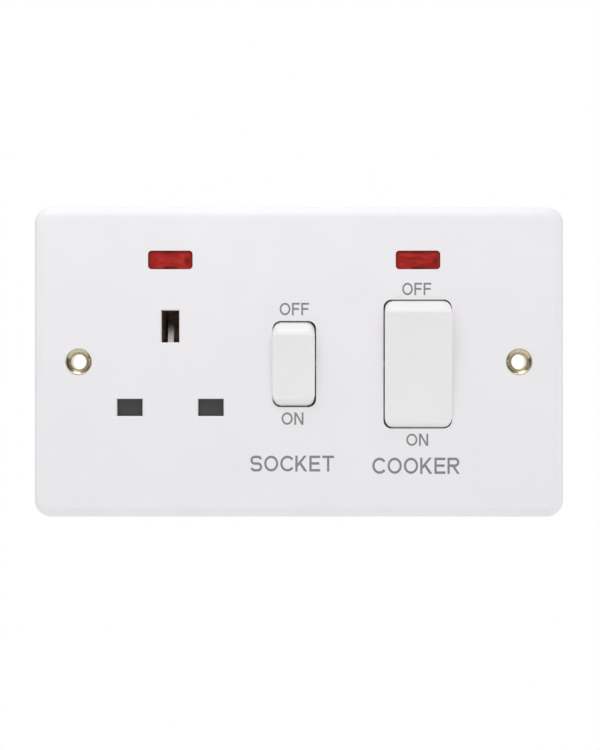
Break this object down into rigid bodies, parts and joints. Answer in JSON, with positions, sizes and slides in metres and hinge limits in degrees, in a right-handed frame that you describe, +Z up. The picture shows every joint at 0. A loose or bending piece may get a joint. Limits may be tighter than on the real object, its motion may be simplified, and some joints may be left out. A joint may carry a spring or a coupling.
{
  "type": "cooker control unit",
  "caption": "White double-width wall plate with a shuttered three-pin socket, a small socket rocker, a large cooker rocker and red neon indicators.",
  "frame": {"origin": "midway between the fixing holes, on the wall plane at the back of the plate's rim", "axes": "+X to the right as seen from the front, +Z up, the front faces -Y"},
  "size_m": [0.145, 0.0422, 0.085],
  "materials": {
    "white_plate": "smooth moulded white, satin gloss",
    "white_rocker": "smooth moulded white, satin gloss",
    "brass_eyelet": "turned",
    "housing_plastic": "moulded white",
    "deck_plastic": "moulded dark brown",
    "shutter_plastic": "moulded dark grey",
    "cam_plastic": "moulded pale grey",
    "plunger_plastic": "moulded natural",
    "spring_steel": "drawn wire",
    "screw_steel": "plated",
    "contact_silver": "silver alloy",
    "red_lens": "clear red moulding",
    "lamp_glass": "blown",
    "resistor_body": "lacquered",
    "tinned_lead": "tinned wire",
    "brass_conductor": "stamped"
  },
  "bodies": {
    "base": {"contact_cover": "deck_plastic", "cooker_neon_lens": "red_lens", "earth_clip": "brass_conductor", "earth_strip": "brass_conductor", "fixed_tips": "contact_silver", "fixing_eyelets": "brass_eyelet", "front_plate": "white_plate", "line_busbar": "brass_conductor", "line_clip": "brass_conductor", "load_strip_line": "brass_conductor", "load_strip_neutral": "brass_conductor", "neon_lamps": "lamp_glass", "neon_leads": "tinned_lead", "neon_resistors": "resistor_body", "neutral_clip": "brass_conductor", "neutral_feed_strip": "brass_conductor", "neutral_link_bar": "brass_conductor", "rear_housing": "housing_plastic", "shutter_spring": "spring_steel", "socket_line_bar": "brass_conductor", "socket_neon_lens": "red_lens", "terminal_blocks": "brass_conductor", "terminal_screws": "screw_steel"},
    "socket_rocker": {"socket_rocker": "white_rocker", "socket_plunger_spring": "spring_steel"},
    "cooker_rocker": {"cooker_rocker": "white_rocker", "cooker_line_plunger_spring": "spring_steel", "cooker_neutral_plunger_spring": "spring_steel"},
    "shutter": {"shutter": "shutter_plastic", "shutter_cam": "cam_plastic"},
    "socket_plunger": {"socket_plunger": "plunger_plastic"},
    "socket_contact_arm": {"socket_contact_arm": "brass_conductor", "socket_moving_tip": "contact_silver"},
    "cooker_line_plunger": {"cooker_line_plunger": "plunger_plastic"},
    "cooker_line_contact_arm": {"cooker_line_contact_arm": "brass_conductor", "cooker_line_moving_tip": "contact_silver"},
    "cooker_neutral_plunger": {"cooker_neutral_plunger": "plunger_plastic"},
    "cooker_neutral_contact_arm": {"cooker_neutral_contact_arm": "brass_conductor", "cooker_neutral_moving_tip": "contact_silver"}
  },
  "joints": [
    {"name": "socket_switch", "type": "hinge", "parent": "base", "child": "socket_rocker", "pos_m": [-0.00125, -0.0054, -0.0006], "axis": [-1, 0, 0], "range_deg": [0, 17]},
    {"name": "cooker_switch", "type": "hinge", "parent": "base", "child": "cooker_rocker", "pos_m": [0.0325, -0.0054, -0.0006], "axis": [-1, 0, 0], "range_deg": [0, 18]},
    {"name": "socket_plunger_slide", "type": "slide", "parent": "socket_rocker", "child": "socket_plunger", "axis": [0, -0.989, -0.1478], "range_m": [0, 0.0008], "stiffness_N_per_m": 400, "springref_m": -0.003, "deforming": ["socket_plunger_spring"]},
    {"name": "socket_arm_rock", "type": "hinge", "parent": "base", "child": "socket_contact_arm", "pos_m": [-0.00125, 0.00855, -0.0006], "axis": [1, 0, 0], "range_deg": [0, 10]},
    {"name": "cooker_line_plunger_slide", "type": "slide", "parent": "cooker_rocker", "child": "cooker_line_plunger", "axis": [0, -0.9877, -0.1564], "range_m": [0, 0.0008], "stiffness_N_per_m": 400, "springref_m": -0.003, "deforming": ["cooker_line_plunger_spring"]},
    {"name": "cooker_line_arm_rock", "type": "hinge", "parent": "base", "child": "cooker_line_contact_arm", "pos_m": [0.0269, 0.00855, -0.0006], "axis": [1, 0, 0], "range_deg": [0, 10]},
    {"name": "cooker_neutral_plunger_slide", "type": "slide", "parent": "cooker_rocker", "child": "cooker_neutral_plunger", "axis": [0, -0.9877, -0.1564], "range_m": [0, 0.0008], "stiffness_N_per_m": 400, "springref_m": -0.003, "deforming": ["cooker_neutral_plunger_spring"]},
    {"name": "cooker_neutral_arm_rock", "type": "hinge", "parent": "base", "child": "cooker_neutral_contact_arm", "pos_m": [0.0381, 0.00855, -0.0006], "axis": [1, 0, 0], "range_deg": [0, 10]},
    {"name": "shutter_slide", "type": "slide", "parent": "base", "child": "shutter", "axis": [0, 0, -1], "range_m": [0, 0.0055], "stiffness_N_per_m": 150, "springref_m": -0.004, "deforming": ["shutter_spring"]}
  ],
  "couplings": [
    {"joint": "socket_arm_rock", "follows": "socket_switch", "ratio": 0.58823},
    {"joint": "cooker_line_arm_rock", "follows": "cooker_switch", "ratio": 0.55556},
    {"joint": "cooker_neutral_arm_rock", "follows": "cooker_switch", "ratio": 0.55556}
  ]
}
